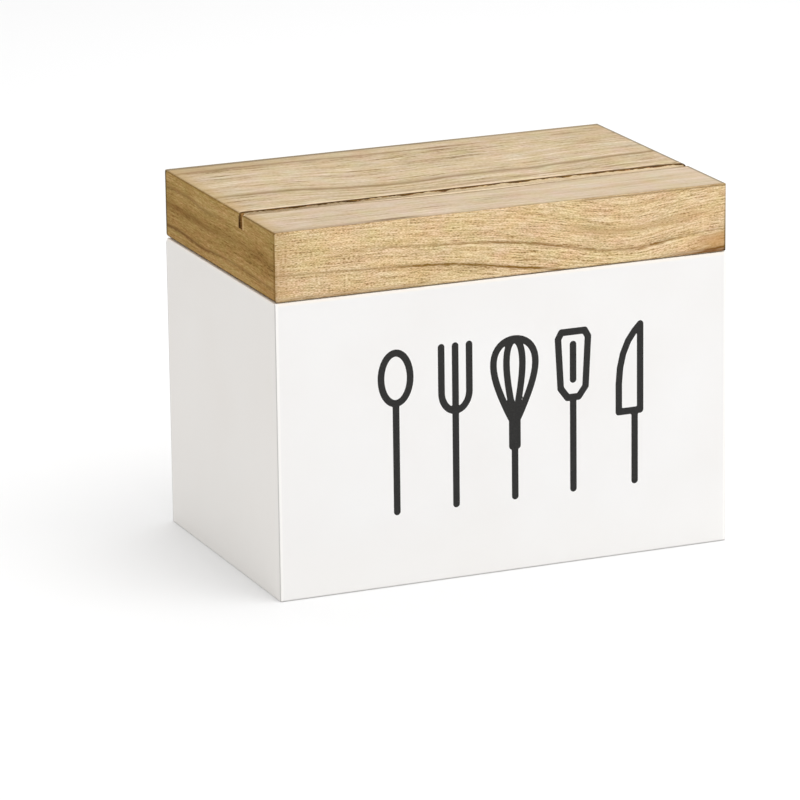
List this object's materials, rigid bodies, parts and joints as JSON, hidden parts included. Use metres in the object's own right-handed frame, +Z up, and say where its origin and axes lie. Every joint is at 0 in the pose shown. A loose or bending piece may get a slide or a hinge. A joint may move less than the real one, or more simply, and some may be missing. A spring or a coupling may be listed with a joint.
{
  "type": "recipe card box",
  "caption": "Rectangular card box: white painted body of mitred panels and a thick natural wood lid, hinged at the back, with a groove across its top that stands a card up.",
  "frame": {"origin": "middle of the base, on the surface that the box stands on", "axes": "+X along the box's width, towards its right end; +Y towards the hinged back; +Z up"},
  "size_m": [0.1752, 0.1092, 0.1346],
  "materials": {
    "white_paint": "satin white paint on wood",
    "lid_wood": "natural wood, matt clear coat",
    "brass": "satin"
  },
  "bodies": {
    "box_body": {"front_panel": "white_paint", "back_panel": "white_paint", "left_panel": "white_paint", "right_panel": "white_paint", "bottom_panel": "white_paint", "body_leaf_left": "brass", "body_leaf_right": "brass", "hinge_pin_left": "brass", "hinge_pin_right": "brass", "body_hinge_screws": "brass"},
    "lid_body": {"lid": "lid_wood", "lid_leaf_left": "brass", "lid_leaf_right": "brass", "lid_hinge_screws": "brass"}
  },
  "joints": [
    {"name": "lid_hinge", "type": "hinge", "parent": "box_body", "child": "lid_body", "pos_m": [0, 0.05261, 0.10925], "axis": [-1, 0, 0], "range_deg": [0, 98]}
  ]
}
